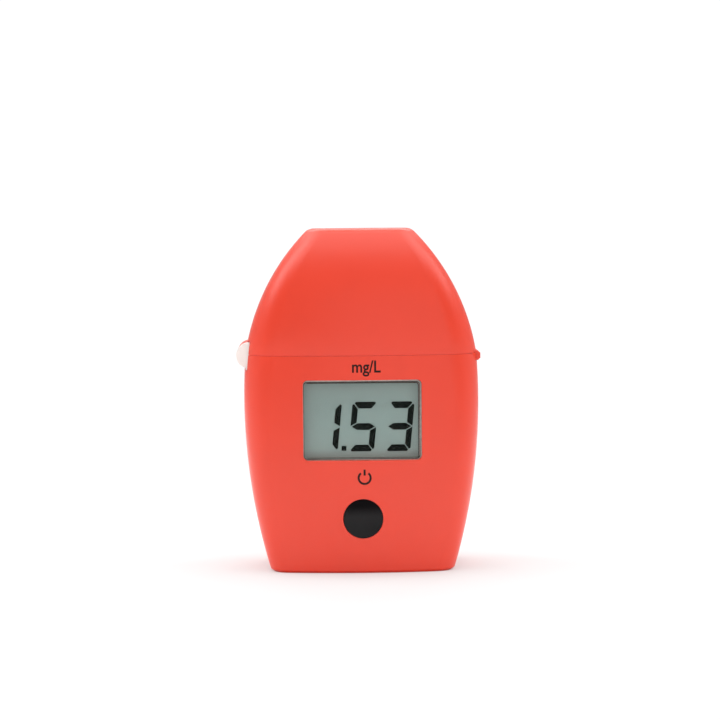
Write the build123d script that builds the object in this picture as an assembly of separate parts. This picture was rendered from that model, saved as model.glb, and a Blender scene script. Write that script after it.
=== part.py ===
from build123d import *
import math
import os

# Portable colorimeter: an egg-shaped hand-held meter with a flip lid over its cuvette well.
# Millimetres, +Z up. The display faces -Y, X = 0 is the middle of the body, Z = 0 its base.

# Battery compartment, opened from below
battery_x = 15.1
battery_y = -1.2
battery_radius = 5.25
battery_length = 44.5
battery_nub_radius = 2.75
battery_nub_length = 0.8
battery_edge = 0.5
battery_low_z = 5.2
spring_space = 1.4
tube_bore_gap = 0.25
tube_wall = 0.9
tube_cap = 0.8
tube_high_z = battery_low_z + battery_length + spring_space + tube_cap
floor_pad = 3.6
floor_pad_radius = 8.2
cap_radius = 6.6
cap_recess = 2.2
cap_low_z = 0.3
cap_flange_thickness = 1.2
cap_barrel_radius = 5.35
cap_barrel_bore = 4.2
cap_barrel_high_z = 4.7
coin_slot_length = 9.0
coin_slot_width = 1.6
coin_slot_depth = 0.7
seal_thickness = 0.6
contact_thickness = 0.3
contact_width = 3.0
contact_tab_height = 2.0
contact_cup_wall = 0.5
spring_radius = 3.0
spring_wire = 0.25
spring_wire_sides = 6
spring_pitch = 0.7

# Outline of case and lid, seen from the front; the battery tube sets the height of the case
head_room = 2.6
case_height = tube_high_z + head_room
lid_height = 31.5
total_height = case_height + lid_height
base_half_width = 23.4
seam_half_width = 29.26
top_half_width = 13.0
case_side_radius = 150.0
lid_side_radius = 56.0

# The same outline, seen from the side
base_half_depth = 15.8
seam_half_depth = 18.1
top_half_depth = 8.6
case_depth_radius = 240.0
lid_depth_radius = 44.0

# Plan section: crowned front and back, bowed sides, round corners
crown_radius = 105.0
side_bow = 0.8
base_corner = 5.0
seam_corner = 9.5
top_corner = 5.0
least_corner = 1.0
top_edge_radius = 3.2
base_edge = 0.7
case_stations = 4
lid_stations = 5

# Shell
wall = 2.0
boss_root = 1.0
seam_gap = 0.2
split_y = 7.5
body_gap = 0.3
part_gap = 0.1

# Hinge on the left side, its pin along Y
hinge_x = -28.2
pin_below_rim = 0.1
hinge_z = case_height - pin_below_rim
knuckle_radius = 3.2
ear_inner_y = 6.4
ear_outer_y = 10.0
ear_ledge_drop = 3.9
ear_ledge_z = case_height - ear_ledge_drop
pin_radius = 0.8
pin_running = 0.05
pin_press = 0.02
pin_front_skin = 1.2
root_above_knuckle = 1.6
root_behind_pin = 0.5
root_reach = 2.4

# Catch lip of the lid on the right side
lip_half_length = 9.2
lip_thickness = 2.3
lip_proud = 0.7
lip_below_seam = 1.8
lip_above_seam = 0.6
lip_chamfer = 0.6
lip_notch_depth = 1.0

# Deck that closes the case under the lid
deck_thickness = 1.8
deck_below_rim = 0.4
deck_fit = 0.2
deck_skirt_depth = 2.8
deck_skirt_wall = 1.2
tongue_height = 2.0
tongue_wall = 1.2
tongue_gap = 0.35
display_clearance = 1.0

# Cuvette well
well_x = -3.5
well_y = 3.3
cuvette_radius = 11.0
cuvette_clearance = 0.25
well_wall = 1.35
well_floor_z = 22.0
well_floor = 1.5
well_flange = 1.8
well_flange_thickness = 1.4

# Optics across the well
beam_angle = 30.0
beam_below_rim = 18.5
beam_z = case_height - beam_below_rim
aperture_radius = 2.0
socket_bore = 3.45
socket_wall = 0.75
led_socket_end = 19.0
led_radius = 2.5
led_rim_radius = 2.9
led_rim_thickness = 1.0
led_length = 7.6
led_holder_wall = 0.75
filter_thickness = 1.4
photocell_thickness = 2.2
detector_socket_end = 16.6
small_board = 7.0
small_board_thickness = 1.0
cable_radius = 0.6
detector_cable_drop = 6.0
detector_cable_inset = 3.0
detector_cable_bend = 3.0
led_cable_drop = 5.0
led_cable_inset = 3.0
led_cable_reach = 4.0
led_cable_bend = 1.5

# Display, from the front face inwards
window_width = 29.5
window_height = 20.0
window_below_rim = 16.0
window_z = case_height - window_below_rim
window_corner = 1.2
window_fit = 0.1
window_sunk = 0.35
window_seat_depth = 3.5
window_flange = 1.4
window_flange_thickness = 1.0
window_bevel = 0.5
seat_frame = 2.3
lcd_gap = 0.2
lcd_width = 31.0
lcd_height = 21.4
lcd_thickness = 1.4
lcd_corner = 0.3
lcd_frame_wall = 1.35
lcd_frame_fit = 0.15
zebra_thickness = 1.8
zebra_height = 2.0
zebra_inset = 1.0

# Circuit board and what it carries
board_thickness = 1.2
board_half_width = 17.5
board_low_z = 5.0
board_below_rim = 3.5
board_high_z = case_height - board_below_rim
board_corner = 1.0
board_screw_x = 14.5
board_screw_low_z = 8.0
screw_below_window = 15.1
board_screw_heights = (board_screw_low_z, window_z - screw_below_window)
board_boss_radius = 2.2
board_screw_radius = 0.8
board_screw_head = 1.8
board_screw_head_height = 1.0
board_screw_grip = 3.2
chip_x = -3.0
chip_z = 14.8
chip_size = 9.0
chip_height = 1.2
chip_corner = 0.4
passive_size = 1.6
passive_height = 0.8
passive_from_chip = 2.0
passive_column_pitch = 2.4
passive_row_pitch = 5.0

# Button over its switch
button_z = 13.9
button_radius = 4.85
button_gap = 0.15
button_sunk = 0.3
button_dish_depth = 0.45
button_travel = 0.6
button_flange = 1.2
button_flange_thickness = 0.8
button_stem_radius = 1.8
collar_wall = 2.2
collar_depth = 0.9
switch_size = 6.0
switch_height = 1.9
switch_corner = 0.5
plunger_radius = 1.7
plunger_proud = 0.7
plunger_depth = 0.6
plunger_gap = 0.1

# Case screws, driven from the back
upper_screw_x = 24.0
upper_screw_drop = 8.5
upper_screw_z = case_height - upper_screw_drop
lower_screw_z = 7.0
case_boss_radius = 2.2
case_boss_front_y = -7.5
rear_boss_radius = 3.0
case_screw_radius = 1.0
case_screw_head = 1.8
case_screw_head_height = 1.6
case_screw_grip = 9.0
cross_half_length = 1.3
cross_half_width = 0.3
screw_seat = 3.2
screw_gap = 0.05
web_half = 0.8

os.makedirs("parts", exist_ok=True)


def bowed(z, low, high, radius):
    """Half size at height z on the arc through two (height, half size) points."""
    rise = high[0] - low[0]
    growth = high[1] - low[1]
    chord = math.hypot(rise, growth)
    reach = math.sqrt(radius ** 2 - chord ** 2 / 4)
    centre_z = (low[0] + high[0]) / 2 + growth / chord * reach
    centre_half = (low[1] + high[1]) / 2 - rise / chord * reach
    return centre_half + math.sqrt(radius ** 2 - (z - centre_z) ** 2)


def half_width(z, lid):
    seam = (case_height, seam_half_width)
    if lid:
        return bowed(z, seam, (total_height, top_half_width), lid_side_radius)
    return bowed(z, (0, base_half_width), seam, case_side_radius)


def half_depth(z, lid):
    seam = (case_height, seam_half_depth)
    if lid:
        return bowed(z, seam, (total_height, top_half_depth), lid_depth_radius)
    return bowed(z, (0, base_half_depth), seam, case_depth_radius)


def corner_radius(z, lid):
    if lid:
        share = (z - case_height) / (total_height - case_height)
        return seam_corner + (top_corner - seam_corner) * share
    return base_corner + (seam_corner - base_corner) * z / case_height


def crown_sag(x):
    return crown_radius - math.sqrt(crown_radius ** 2 - x ** 2)


def section(z, inset, lid):
    """Plan outline of the meter at height z, drawn in by inset."""
    width = half_width(z, lid) - inset
    depth = half_depth(z, lid) - inset
    edge_x = width - side_bow
    edge_y = depth - crown_sag(edge_x)
    corner = max(corner_radius(z, lid) - inset, least_corner)
    front = ThreePointArc((-edge_x, -edge_y), (0, -depth), (edge_x, -edge_y))
    right = ThreePointArc((edge_x, -edge_y), (width, 0), (edge_x, edge_y))
    back = ThreePointArc((edge_x, edge_y), (0, depth), (-edge_x, edge_y))
    left = ThreePointArc((-edge_x, edge_y), (-width, 0), (-edge_x, -edge_y))
    outline = make_face([front, right, back, left])
    return Pos(0, 0, z) * fillet(outline.vertices(), corner)


def egg(low, high, inset, lid, stations):
    """Solid between two heights of the case or the lid, drawn in by inset."""
    step = (high - low) / (stations - 1)
    return loft([section(low + step * i, inset, lid) for i in range(stations)])


def box_between(low, high):
    size = [b - a for a, b in zip(low, high)]
    return Pos(*low) * Box(*size, align=(Align.MIN, Align.MIN, Align.MIN))


def rod_y(x, z, low_y, high_y, radius):
    upright = Cylinder(radius, high_y - low_y, align=(Align.CENTER, Align.CENTER, Align.MIN))
    return Pos(x, low_y, z) * Rot(-90, 0, 0) * upright


def rod_z(x, y, low_z, high_z, radius):
    upright = Cylinder(radius, high_z - low_z, align=(Align.CENTER, Align.CENTER, Align.MIN))
    return Pos(x, y, low_z) * upright


def plate_y(x, z, width, height, low_y, high_y, corner):
    """Upright plate with round corners, its thickness along Y."""
    face_plane = Plane(origin=(x, low_y, z), x_dir=(1, 0, 0), z_dir=(0, 1, 0))
    return extrude(face_plane * RectangleRounded(width, height, corner), amount=high_y - low_y)


def beam_rod(side, start, end, radius):
    """Rod on the optical axis, from start to end away from the well's middle."""
    turn = math.radians(beam_angle)
    direction = (side * math.cos(turn), side * math.sin(turn), 0)
    axis_plane = Plane(origin=(well_x, well_y, beam_z), z_dir=direction)
    upright = Cylinder(radius, end - start, align=(Align.CENTER, Align.CENTER, Align.MIN))
    return axis_plane.location * Pos(0, 0, start) * upright


def beam_plate(side, start, end, size):
    turn = beam_angle if side > 0 else beam_angle + 180
    slab = Box(end - start, size, size, align=(Align.MIN, Align.CENTER, Align.CENTER))
    return Pos(well_x, well_y, beam_z) * Rot(0, 0, turn) * Pos(start, 0, 0) * slab


def mirrored(solid):
    """The solid and its mirror image behind the XZ plane."""
    return solid + mirror(solid, Plane.XZ)


reach = 2 * total_height
battery_axis = (battery_x, battery_y)
tube_bore = battery_radius + tube_bore_gap
tube_outer = tube_bore + tube_wall
well_radius = cuvette_radius + cuvette_clearance
well_outer = well_radius + well_wall
well_axis = (well_x, well_y)
deck_high_z = case_height - deck_below_rim
deck_low_z = deck_high_z - deck_thickness
rim_z = case_height + seam_gap

# Display stack, worked out from the window's seat
window_seat_y = window_seat_depth - half_depth(window_z, False)
window_back_y = window_seat_y + window_flange_thickness
lcd_front_y = window_back_y + lcd_gap
lcd_back_y = lcd_front_y + lcd_thickness
board_front_y = lcd_back_y + zebra_thickness
board_back_y = board_front_y + board_thickness

# Case, one hollow egg cut into a deep front and a shallow back
case_outer = egg(0, case_height, 0, False, case_stations)
base_edges = case_outer.edges().group_by(Axis.Z)[0]
case_outer = chamfer(base_edges, base_edge)
case_cavity = egg(wall, case_height + 1, wall, False, case_stations)
case_hollow = case_outer - case_cavity

hinge_notch_y = ear_outer_y + body_gap
notch_inner_x = hinge_x + knuckle_radius + body_gap
hinge_notch = box_between((-reach, -hinge_notch_y, ear_ledge_z), (notch_inner_x, hinge_notch_y, reach))
lip_inner_x = seam_half_width + lip_proud - lip_thickness
lip_low_z = case_height - lip_below_seam
lip_notch_y = lip_half_length + body_gap
lip_notch_low = (lip_inner_x - lip_notch_depth, -lip_notch_y, lip_low_z - body_gap)
lip_notch = box_between(lip_notch_low, (reach, lip_notch_y, reach))
case_hollow = case_hollow - hinge_notch - lip_notch

front_side = box_between((-reach, -reach, -1), (reach, split_y, reach))
back_side = box_between((-reach, split_y, -1), (reach, reach, reach))
inside_case = egg(base_edge, case_height, wall - boss_root, False, case_stations)

# Front shell: window with its seat, button collar, bosses for board and case screws
front_shell = case_hollow & front_side
seat_width = window_width + 2 * seat_frame
seat_height = window_height + 2 * seat_frame
seat_block = plate_y(0, window_z, seat_width, seat_height, -reach, window_seat_y, window_corner)
front_shell += seat_block & inside_case
collar_radius = button_radius + button_gap + collar_wall
button_surface_y = -half_depth(button_z, False)
collar_back_y = button_surface_y + wall + collar_depth
front_shell += rod_y(0, button_z, -reach, collar_back_y, collar_radius) & inside_case

board_screw_places = [(x, z) for x in (-board_screw_x, board_screw_x) for z in board_screw_heights]
for x, z in board_screw_places:
    front_shell += rod_y(x, z, -reach, board_front_y, board_boss_radius) & inside_case

case_screw_places = [
    (-upper_screw_x, upper_screw_z, -1),
    (upper_screw_x, upper_screw_z, 1),
    (0, lower_screw_z, 0),
]
for x, z, side in case_screw_places:
    boss = rod_y(x, z, case_boss_front_y, split_y, case_boss_radius)
    if side:
        low_x = min(x, side * reach)
        high_x = max(x, side * reach)
        boss += box_between((low_x, case_boss_front_y, z - web_half), (high_x, split_y, z + web_half))
    else:
        boss += box_between((-web_half, case_boss_front_y, 0), (web_half, split_y, z))
    front_shell += boss & inside_case

front_shell += rod_z(battery_x, battery_y, 0, floor_pad, floor_pad_radius) & inside_case
front_shell -= plate_y(0, window_z, window_width, window_height, -reach, 0, window_corner)
front_shell -= rod_y(0, button_z, -reach, collar_back_y, button_radius + button_gap)
for x, z in board_screw_places:
    pilot = board_screw_radius + screw_gap
    front_shell -= rod_y(x, z, board_front_y - board_screw_grip, board_front_y, pilot)
for x, z, side in case_screw_places:
    pilot = case_screw_radius + screw_gap
    front_shell -= rod_y(x, z, split_y - case_screw_grip, split_y, pilot)
front_shell -= rod_z(battery_x, battery_y, -1, cap_recess, cap_radius + body_gap)
front_shell -= rod_z(battery_x, battery_y, -1, floor_pad, cap_barrel_radius + body_gap)

# Rear shell: screw towers with deep counterbores
rear_shell = case_hollow & back_side
screw_head_y = split_y + screw_seat
for x, z, side in case_screw_places:
    rear_shell += rod_y(x, z, split_y, reach, rear_boss_radius) & inside_case
for x, z, side in case_screw_places:
    rear_shell -= rod_y(x, z, split_y, reach, case_screw_radius + part_gap)
    rear_shell -= rod_y(x, z, screw_head_y, reach, case_screw_head + deck_fit)

# Case screws
case_screws = []
for x, z, side in case_screw_places:
    shank = rod_y(x, z, split_y - case_screw_grip + part_gap, screw_head_y, case_screw_radius)
    head = rod_y(x, z, screw_head_y, screw_head_y + case_screw_head_height, case_screw_head)
    slot_y = screw_head_y + case_screw_head_height / 2
    long, short = cross_half_length, cross_half_width
    slot = box_between((x - long, slot_y, z - short), (x + long, reach, z + short))
    cross = box_between((x - short, slot_y, z - long), (x + short, reach, z + long))
    case_screws.append(shank + head - slot - cross)

# Top deck with the hinge ears and the light-tight tongue inside the lid's rim
deck_inset = wall + deck_fit
skirt_low_z = deck_low_z - deck_skirt_depth
top_deck = egg(skirt_low_z, deck_high_z, deck_inset, False, 2)
under_deck = egg(skirt_low_z, deck_low_z, deck_inset + deck_skirt_wall, False, 2)
display_half = seat_width / 2 + display_clearance
display_gap = box_between((-display_half, -reach, 0), (display_half, 0, deck_low_z))
top_deck = top_deck - under_deck - display_gap
tongue_high_z = case_height + tongue_height
tongue = egg(deck_high_z, tongue_high_z, wall + tongue_gap, True, 2)
tongue -= egg(deck_high_z, tongue_high_z, wall + tongue_gap + tongue_wall, True, 2)
tongue -= box_between((-reach, -reach, 0), (hinge_x + 2 * knuckle_radius, reach, reach))
top_deck += tongue
barrel_swing = rod_y(hinge_x, hinge_z, -ear_outer_y, ear_outer_y, knuckle_radius + body_gap)
ear = rod_y(hinge_x, hinge_z, ear_inner_y, ear_outer_y, knuckle_radius)
ear_low = (-seam_half_width + side_bow / 4, ear_inner_y, ear_ledge_z + deck_fit)
ear += box_between(ear_low, (hinge_x + 2 * knuckle_radius, ear_outer_y, deck_high_z))
top_deck = top_deck - barrel_swing + mirrored(ear)
top_deck -= rod_z(*well_axis, 0, reach, well_outer + part_gap)
pin_front_y = -ear_outer_y + pin_front_skin
top_deck -= rod_y(hinge_x, hinge_z, pin_front_y, ear_outer_y, pin_radius + pin_press)

# Hinge pin, pushed in from the back
hinge_pin = rod_y(hinge_x, hinge_z, pin_front_y + part_gap, ear_outer_y, pin_radius)

# Lid: hollow cap with its hinge barrel and catch lip
lid_outer = egg(case_height, total_height, 0, True, lid_stations)
lid_outer &= box_between((-reach, -reach, rim_z), (reach, reach, reach))
top_edges = lid_outer.edges().group_by(Axis.Z)[-1]
lid_outer = fillet(top_edges, top_edge_radius)
lid_cavity = egg(case_height - 1, total_height - wall, wall, True, lid_stations)
lid_shell = lid_outer - lid_cavity
ear_swing = rod_y(hinge_x, hinge_z, -hinge_notch_y, hinge_notch_y, knuckle_radius + body_gap)
lid_shell -= ear_swing
barrel_half = ear_inner_y - body_gap
lid_barrel = rod_y(hinge_x, hinge_z, -barrel_half, barrel_half, knuckle_radius)
root_low = (hinge_x - root_behind_pin, -barrel_half, rim_z)
root_high = (hinge_x + root_reach, barrel_half, hinge_z + knuckle_radius + root_above_knuckle)
lid_root = box_between(root_low, root_high)
lid_shell += lid_barrel + (lid_root & lid_outer)
lid_shell -= rod_y(hinge_x, hinge_z, -barrel_half, barrel_half, pin_radius + pin_running)
lip_outer_x = lip_inner_x + lip_thickness
lip_high_z = case_height + lip_above_seam
lip_size_low = (lip_inner_x, -lip_half_length, lip_low_z)
lip = box_between(lip_size_low, (lip_outer_x, lip_half_length, lip_high_z))
lip = chamfer(lip.edges().filter_by(Axis.Y).sort_by(Axis.X)[-2:], lip_chamfer)
lid_shell += lip

# Cuvette well with its sockets for the lamp and the detector
well_low_z = well_floor_z - well_floor
cuvette_well = rod_z(*well_axis, well_low_z, deck_high_z - part_gap, well_outer)
flange_high_z = deck_low_z - part_gap
flange_low_z = flange_high_z - well_flange_thickness
well_flange_disc = rod_z(*well_axis, flange_low_z, flange_high_z, well_outer + well_flange)
well_flange_disc &= egg(skirt_low_z, deck_low_z, deck_inset + deck_skirt_wall + deck_fit, False, 2)
well_flange_disc -= rod_z(*battery_axis, 0, reach, tube_outer + part_gap)
well_flange_disc -= box_between((-reach, -reach, 0), (reach, board_back_y + part_gap, reach))
cuvette_well += well_flange_disc
socket_radius = socket_bore + socket_wall
cuvette_well += beam_rod(-1, 0, led_socket_end, socket_radius)
cuvette_well += beam_rod(1, 0, detector_socket_end, socket_radius)
cuvette_well -= rod_z(*well_axis, well_floor_z, reach, well_radius)
cuvette_well -= beam_rod(-1, 0, reach, aperture_radius)
cuvette_well -= beam_rod(1, 0, reach, aperture_radius)
socket_start = well_outer + part_gap
cuvette_well -= beam_rod(-1, socket_start, reach, socket_bore)
cuvette_well -= beam_rod(1, socket_start, reach, socket_bore)

# Lamp side of the optics
holder_radius = led_radius + part_gap + led_holder_wall
led_holder = beam_rod(-1, socket_start + part_gap, led_socket_end, holder_radius)
led_holder -= beam_rod(-1, 0, reach, led_radius + part_gap)
led_tip = socket_start + 2 * part_gap
led_back = led_tip + led_length
led_emitter = beam_rod(-1, led_tip + led_radius, led_back, led_radius)
led_dome = Pos(well_x, well_y, beam_z) * Rot(0, 0, beam_angle) * Pos(-led_tip - led_radius, 0, 0)
led_emitter += led_dome * Sphere(led_radius)
led_emitter += beam_rod(-1, led_back - led_rim_thickness, led_back, led_rim_radius)
led_board = beam_plate(-1, led_back + part_gap, led_back + part_gap + small_board_thickness, small_board)

# Detector side of the optics
filter_start = socket_start + part_gap
optical_filter = beam_rod(1, filter_start, filter_start + filter_thickness, socket_bore - part_gap)
photocell_start = filter_start + filter_thickness + part_gap
photocell_end = photocell_start + photocell_thickness
photocell = beam_rod(1, photocell_start, photocell_end, socket_bore - 3 * part_gap)
detector_board_start = photocell_end + part_gap
detector_board_end = detector_board_start + small_board_thickness
detector_board = beam_plate(1, detector_board_start, detector_board_end, small_board)

# Window lens: plug in the opening, flange glued behind it
lens_front_y = -half_depth(window_z, False) + crown_sag(window_width / 2) + window_sunk
lens_width = window_width - 2 * window_fit
lens_height = window_height - 2 * window_fit
lens_plug = plate_y(0, window_z, lens_width, lens_height, lens_front_y, window_seat_y, window_corner)
lens_plug = chamfer(lens_plug.faces().sort_by(Axis.Y)[0].edges(), window_bevel)
flange_width = window_width + 2 * window_flange
flange_height = window_height + 2 * window_flange
lens_flange = plate_y(0, window_z, flange_width, flange_height, window_seat_y, window_back_y, window_corner)
lcd_window = lens_plug + lens_flange

# Display glass, its frame and the two contact strips
lcd_glass = plate_y(0, window_z, lcd_width, lcd_height, lcd_front_y, lcd_back_y, lcd_corner)
frame_bore_width = lcd_width + 2 * lcd_frame_fit
frame_bore_height = lcd_height + 2 * lcd_frame_fit
frame_width = frame_bore_width + 2 * lcd_frame_wall
frame_height = frame_bore_height + 2 * lcd_frame_wall
frame_front_y = window_back_y + part_gap
frame_back_y = board_front_y - part_gap
lcd_frame = plate_y(0, window_z, frame_width, frame_height, frame_front_y, frame_back_y, window_corner)
bore_size = (frame_bore_width, frame_bore_height)
lcd_frame -= plate_y(0, window_z, *bore_size, frame_front_y, frame_back_y, lcd_corner)
zebra_strips = []
for side in (-1, 1):
    strip_z = window_z + side * (lcd_height / 2 - zebra_inset - zebra_height / 2)
    strip_width = lcd_width - 2 * zebra_inset
    strip = plate_y(0, strip_z, strip_width, zebra_height, lcd_back_y, board_front_y, lcd_corner)
    zebra_strips.append(strip)

# Circuit board, chip, small parts and screws
board_middle_z = (board_low_z + board_high_z) / 2
board_size = (2 * board_half_width, board_high_z - board_low_z)
circuit_board = plate_y(0, board_middle_z, *board_size, board_front_y, board_back_y, board_corner)
for x, z in board_screw_places:
    circuit_board -= rod_y(x, z, board_front_y, board_back_y, board_screw_radius + body_gap)
chip_back_y = board_back_y + chip_height
microcontroller = plate_y(chip_x, chip_z, chip_size, chip_size, board_back_y, chip_back_y, chip_corner)
board_passives = []
for column in range(2):
    for row in (-1, 1):
        passive_x = chip_x + chip_size / 2 + passive_from_chip + passive_column_pitch * column
        passive_z = chip_z + row * passive_row_pitch / 2
        low = (passive_x, board_back_y, passive_z)
        high = (passive_x + passive_size, board_back_y + passive_height, passive_z + passive_size / 2)
        board_passives.append(box_between(low, high))
board_screws = []
for x, z in board_screw_places:
    tip_y = board_front_y - board_screw_grip + part_gap
    screw = rod_y(x, z, tip_y, board_back_y, board_screw_radius)
    screw += rod_y(x, z, board_back_y, board_back_y + board_screw_head_height, board_screw_head)
    board_screws.append(screw)

# Button cap, switch and plunger
cap_face_y = button_surface_y + button_sunk
button_cap = rod_y(0, button_z, cap_face_y, collar_back_y + part_gap, button_radius)
dish_radius = (button_radius ** 2 + button_dish_depth ** 2) / (2 * button_dish_depth)
dish = Pos(0, cap_face_y - dish_radius + button_dish_depth, button_z) * Sphere(dish_radius)
button_cap -= dish
flange_front_y = collar_back_y + part_gap
flange_back_y = flange_front_y + button_flange_thickness
button_cap += rod_y(0, button_z, flange_front_y, flange_back_y, button_radius + button_flange)
switch_front_y = board_front_y - switch_height
plunger_front_y = switch_front_y - plunger_proud
button_cap += rod_y(0, button_z, flange_back_y, plunger_front_y, button_stem_radius)
switch_body = plate_y(0, button_z, switch_size, switch_size, switch_front_y, board_front_y, switch_corner)
socket_back_y = switch_front_y + plunger_depth + button_travel + part_gap
switch_body -= rod_y(0, button_z, switch_front_y, socket_back_y, plunger_radius + plunger_gap)
switch_plunger = rod_y(0, button_z, plunger_front_y, switch_front_y + plunger_depth, plunger_radius)

# Battery, its tube, contacts and the coin-slot cap in the base
battery_tube = rod_z(*battery_axis, floor_pad, tube_high_z, tube_outer)
battery_tube -= rod_z(*battery_axis, floor_pad, tube_high_z - tube_cap, tube_bore)
strip_low_z = floor_pad + contact_thickness
slot_low = (battery_x - contact_width / 2 - part_gap, battery_y - reach, floor_pad)
slot_high = (battery_x + contact_width / 2 + part_gap, battery_y, strip_low_z + 2 * contact_thickness)
battery_tube -= box_between(slot_low, slot_high)
body_low_z = battery_low_z + battery_nub_length
battery_cell = rod_z(*battery_axis, body_low_z, battery_low_z + battery_length, battery_radius)
battery_cell = chamfer(battery_cell.edges().filter_by(GeomType.CIRCLE), battery_edge)
battery_cell += rod_z(*battery_axis, battery_low_z, body_low_z + battery_edge, battery_nub_radius)

strip_front_y = board_back_y
strip_low = (battery_x - contact_width / 2, strip_front_y, strip_low_z)
strip_back_y = battery_y - cap_barrel_radius - body_gap
strip_high = (battery_x + contact_width / 2, strip_back_y, strip_low_z + contact_thickness)
positive_strip = box_between(strip_low, strip_high)
tab_back_y = strip_front_y + contact_thickness
tab_high = (battery_x + contact_width / 2, tab_back_y, strip_low_z + contact_tab_height)
positive_strip += box_between(strip_low, tab_high)

spring_low_z = battery_low_z + battery_length + spring_wire
spring_height = tube_high_z - tube_cap - spring_wire - spring_low_z
coil = Pos(*battery_axis, spring_low_z) * Helix(spring_pitch, spring_height, spring_radius)
coil_section = Plane(origin=coil @ 0, z_dir=coil % 0) * RegularPolygon(spring_wire, spring_wire_sides)
battery_spring = sweep(coil_section, path=coil, is_frenet=True)

cap_flange_z = cap_low_z + cap_flange_thickness
battery_cap = rod_z(*battery_axis, cap_low_z, cap_flange_z, cap_radius)
battery_cap += rod_z(*battery_axis, cap_flange_z, cap_barrel_high_z, cap_barrel_radius)
battery_cap -= rod_z(*battery_axis, cap_flange_z, cap_barrel_high_z, cap_barrel_bore)
slot_half_length = coin_slot_length / 2
slot_half_width = coin_slot_width / 2
coin_low = (battery_x - slot_half_length, battery_y - slot_half_width, 0)
coin_high = (battery_x + slot_half_length, battery_y + slot_half_width, cap_low_z + coin_slot_depth)
battery_cap -= box_between(coin_low, coin_high)
contact_radius = cap_barrel_bore - part_gap
cap_contact = rod_z(*battery_axis, cap_flange_z, battery_low_z - part_gap, contact_radius)
cap_contact -= rod_z(*battery_axis, cap_flange_z, cap_barrel_high_z, contact_radius - contact_cup_wall)
seal_high_z = cap_flange_z + seal_thickness
cap_seal = rod_z(*battery_axis, cap_flange_z, seal_high_z, cap_radius - part_gap)
cap_seal -= rod_z(*battery_axis, cap_flange_z, seal_high_z, cap_barrel_radius + part_gap)

# Cables from the small boards to the circuit board
cable_drop = Vector(0, 0, -small_board / 2 - cable_radius)
turn = math.radians(beam_angle)
beam = Vector(math.cos(turn), math.sin(turn), 0)
middle = Vector(well_x, well_y, beam_z)
detector_exit = middle + beam * ((detector_board_start + detector_board_end) / 2) + cable_drop
cable_low_z = well_low_z - detector_cable_drop
landing_x = well_x + well_outer - detector_cable_inset
detector_route = [
    detector_exit,
    Vector(detector_exit.X, detector_exit.Y, cable_low_z),
    Vector(landing_x, well_y, cable_low_z),
    Vector(landing_x, board_back_y, cable_low_z),
]
detector_path = FilletPolyline(*detector_route, radius=detector_cable_bend)
detector_section = Plane(origin=detector_path @ 0, z_dir=detector_path % 0) * Circle(cable_radius)
detector_cable = sweep(detector_section, path=detector_path)
led_board_middle = led_back + part_gap + small_board_thickness / 2
led_exit = middle - beam * led_board_middle + cable_drop
led_low_z = led_exit.Z - led_cable_drop
led_landing_x = led_cable_inset - board_half_width
led_route = [
    led_exit,
    Vector(led_exit.X, led_exit.Y, led_low_z),
    Vector(led_landing_x, board_back_y + led_cable_reach, led_low_z),
    Vector(led_landing_x, board_back_y, led_low_z),
]
led_path = FilletPolyline(*led_route, radius=led_cable_bend)
led_section = Plane(origin=led_path @ 0, z_dir=led_path % 0) * Circle(cable_radius)
led_cable = sweep(led_section, path=led_path)

nodes = {
    "front_shell": front_shell,
    "rear_shell": rear_shell,
    "case_screws": case_screws,
    "top_deck": top_deck,
    "hinge_pin": hinge_pin,
    "lid_shell": lid_shell,
    "cuvette_well": cuvette_well,
    "led_holder": led_holder,
    "led_emitter": led_emitter,
    "led_board": led_board,
    "led_cable": led_cable,
    "optical_filter": optical_filter,
    "photocell": photocell,
    "detector_board": detector_board,
    "detector_cable": detector_cable,
    "lcd_window": lcd_window,
    "lcd_glass": lcd_glass,
    "lcd_frame": lcd_frame,
    "zebra_strips": zebra_strips,
    "circuit_board": circuit_board,
    "microcontroller": microcontroller,
    "board_passives": board_passives,
    "board_screws": board_screws,
    "button_cap": button_cap,
    "switch_body": switch_body,
    "switch_plunger": switch_plunger,
    "battery_tube": battery_tube,
    "battery_cell": battery_cell,
    "battery_spring": battery_spring,
    "positive_strip": positive_strip,
    "battery_cap": battery_cap,
    "cap_contact": cap_contact,
    "cap_seal": cap_seal,
}
for name, shape in nodes.items():
    if isinstance(shape, list):
        shape = Compound(children=shape)
    export_step(shape, f"parts/{name}.step")
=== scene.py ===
"""Portable colorimeter: finishes, printed marks, display digits and a studio around the fixed CAD frame."""

import math

import bpy
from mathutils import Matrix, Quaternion, Vector


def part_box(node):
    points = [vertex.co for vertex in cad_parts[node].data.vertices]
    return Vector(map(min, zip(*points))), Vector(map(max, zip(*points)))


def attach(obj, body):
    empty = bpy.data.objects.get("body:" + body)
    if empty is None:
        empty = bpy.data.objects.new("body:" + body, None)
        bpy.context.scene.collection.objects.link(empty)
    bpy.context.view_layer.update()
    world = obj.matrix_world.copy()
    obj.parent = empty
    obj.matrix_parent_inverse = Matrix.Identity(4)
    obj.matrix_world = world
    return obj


bl_info = {
    "name": "Portable Colorimeter",
    "version": (1, 0, 0),
    "blender": (4, 5, 0),
    "location": "3D View > Sidebar > Colorimeter",
    "description": "Dresses a pocket colorimeter and sets it in a white studio",
    "category": "Object",
}

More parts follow.
